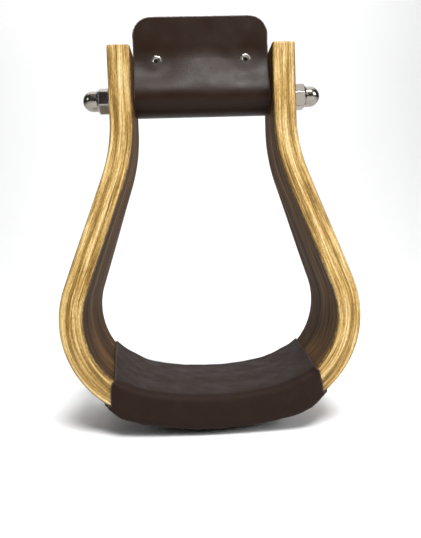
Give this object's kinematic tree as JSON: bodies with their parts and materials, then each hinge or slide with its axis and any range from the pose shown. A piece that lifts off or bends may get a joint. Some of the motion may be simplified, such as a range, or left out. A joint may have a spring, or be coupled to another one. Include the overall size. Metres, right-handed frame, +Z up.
{
  "type": "stirrup",
  "caption": "Western saddle stirrup: a bent laminated wood hoop with a leather-covered tread and a leather-wrapped roller on a cross bolt.",
  "frame": {"origin": "bottom centre: under the middle of the tread, at the lowest point of the lacing it stands on", "axes": "+Z up, +X towards the right arm along the cross bolt, -Y towards the front, where the rivets are clinched"},
  "size_m": [0.1592, 0.0704, 0.2282],
  "materials": {
    "face_veneer": "satin varnish",
    "core_veneer": "satin varnish on cut ply edges",
    "bolt_steel": "plain",
    "nickel_plate": "polished nickel plate",
    "rivet_steel": "nickel plate",
    "harness_leather": "dark brown, waxed",
    "lace_leather": "tan, waxed"
  },
  "bodies": {
    "hoop": {"inner_face_veneer": "face_veneer", "core_ply_1": "core_veneer", "core_ply_2": "core_veneer", "core_ply_3": "core_veneer", "core_ply_4": "core_veneer", "core_ply_5": "core_veneer", "core_ply_6": "core_veneer", "core_ply_7": "core_veneer", "outer_face_veneer": "face_veneer", "stirrup_bolt": "bolt_steel", "left_washer": "nickel_plate", "right_washer": "nickel_plate", "left_cap_nut": "nickel_plate", "right_cap_nut": "nickel_plate", "tread_cover": "harness_leather", "tread_lace": "lace_leather"},
    "roller": {"bolt_roller": "bolt_steel", "bolt_wrap": "harness_leather", "left_wrap_rivet": "rivet_steel", "right_wrap_rivet": "rivet_steel"}
  },
  "joints": [
    {"name": "roller_turn", "type": "hinge", "parent": "hoop", "child": "roller", "pos_m": [0, 0, 0.18339], "axis": [1, 0, 0], "continuous": true}
  ]
}
